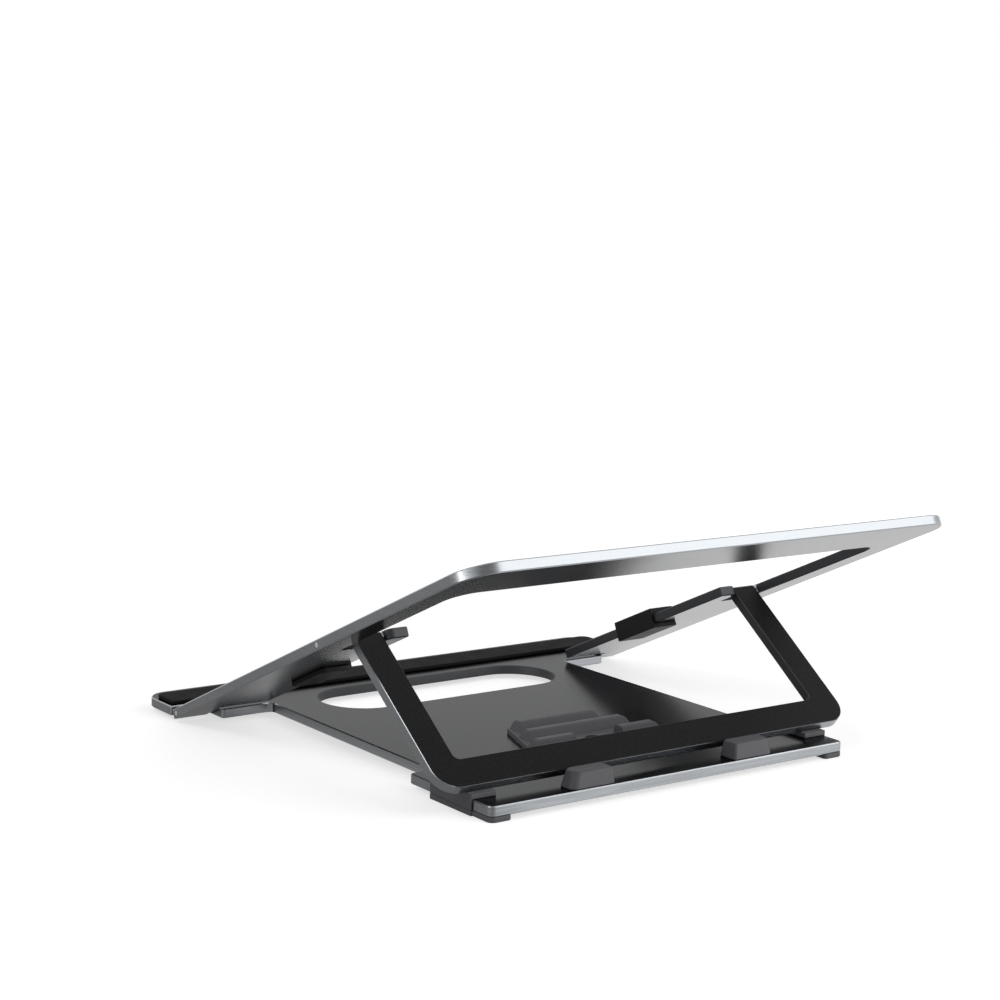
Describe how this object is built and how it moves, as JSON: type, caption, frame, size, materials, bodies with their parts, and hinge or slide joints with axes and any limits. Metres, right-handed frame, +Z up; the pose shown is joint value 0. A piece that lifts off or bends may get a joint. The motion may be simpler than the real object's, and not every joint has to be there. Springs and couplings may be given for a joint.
{
  "type": "laptop stand",
  "caption": "Folding metal laptop stand: base plate, hinged tray frame and hinged prop frame that nest in one plane, with rubber pads, feet and an angle rack.",
  "frame": {"origin": "the middle of the stand's box at desk height, under the tray's middle", "axes": "+Z up, +X to the user's right, +Y away from the user towards the raised rear edge; the hinges run along X"},
  "size_m": [0.23, 0.2342, 0.0994],
  "materials": {
    "base_plate": "dark grey anodised top, satin, bare bright edges",
    "tray_frame": "dark grey anodised, satin, reflective",
    "prop_frame": "black, finely textured",
    "hinge_pin": "bright turned steel",
    "washer": "plain steel",
    "front_rubber": "black matte rubber",
    "tray_rubber": "dark grey matte rubber",
    "base_rubber": "dark grey matte rubber"
  },
  "bodies": {
    "base": {"base_plate": "base_plate", "front_rubber_pad": "front_rubber", "angle_rack": "base_rubber", "stop_block_left": "base_rubber", "stop_block_right": "base_rubber", "corner_bumper_left": "base_rubber", "corner_bumper_right": "base_rubber", "rear_foot_left": "base_rubber", "rear_foot_right": "base_rubber", "front_foot_left": "base_rubber", "front_foot_right": "base_rubber", "front_hinge_pin_left": "hinge_pin", "front_hinge_pin_right": "hinge_pin", "front_hinge_washer_left": "washer", "front_hinge_washer_right": "washer"},
    "tray": {"tray_frame": "tray_frame", "tray_clip_left": "tray_rubber", "tray_clip_right": "tray_rubber", "tray_rear_pad_left": "tray_rubber", "tray_rear_pad_right": "tray_rubber", "prop_hinge_pin_left": "hinge_pin", "prop_hinge_pin_right": "hinge_pin", "prop_hinge_washers_left": "washer", "prop_hinge_washers_right": "washer"},
    "prop": {"prop_frame": "prop_frame"}
  },
  "joints": [
    {"name": "tray_hinge", "type": "hinge", "parent": "base", "child": "tray", "pos_m": [0, -0.08896, 0.0041], "axis": [1, 0, 0], "range_deg": [0, 85.5]},
    {"name": "prop_hinge", "type": "hinge", "parent": "tray", "child": "prop", "pos_m": [0, 0.01978, 0.05366], "axis": [1, 0, 0], "range_deg": [0, 60.93]}
  ]
}
